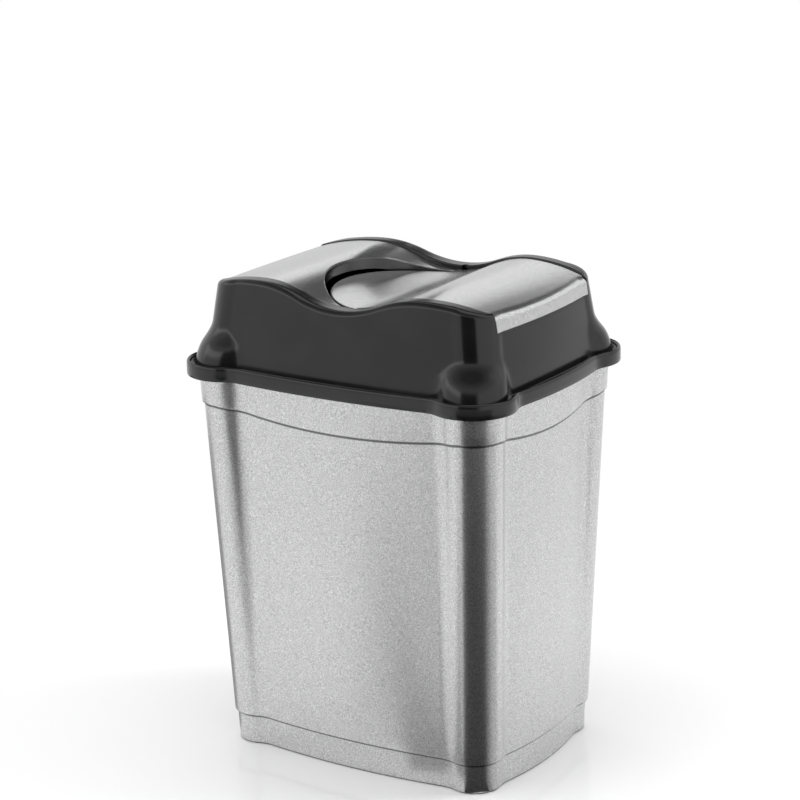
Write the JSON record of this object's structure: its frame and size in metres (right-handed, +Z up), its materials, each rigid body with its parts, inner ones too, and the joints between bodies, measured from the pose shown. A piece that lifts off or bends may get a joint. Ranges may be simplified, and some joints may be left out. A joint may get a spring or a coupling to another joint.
{
  "type": "trash can",
  "caption": "Free-standing kitchen bin: tapered silver bucket with round corner columns under a black lift-off lid, with a wave-shaped silver cover and a press-to-open rocker flap.",
  "frame": {"origin": "middle of the base, on the surface the bin stands on", "axes": "+X along the long side towards the rocker flap, +Y to the back, +Z up; the long face seen at the left of the picture faces -Y and the short face at its right faces +X"},
  "size_m": [0.2816, 0.2202, 0.3765],
  "materials": {
    "bucket_silver": "light silver moulded plastic with a fine metallic salt-and-pepper speckle, satin",
    "lid_black": "black moulded plastic, smooth gloss",
    "panel_silver": "silver moulded plastic with a fine metallic speckle, gloss"
  },
  "bodies": {
    "bucket": {"bucket": "bucket_silver"},
    "lid": {"lid_frame": "lid_black", "lid_cover": "panel_silver"},
    "flap": {"lid_flap": "panel_silver"}
  },
  "joints": [
    {"name": "lid_lift", "type": "slide", "parent": "bucket", "child": "lid", "axis": [0, 0, 1], "range_m": [0, 0.12]},
    {"name": "flap_rock", "type": "hinge", "parent": "lid", "child": "flap", "pos_m": [0.008, 0, 0.3572], "axis": [0, -1, 0], "range_deg": [0, 65]}
  ]
}
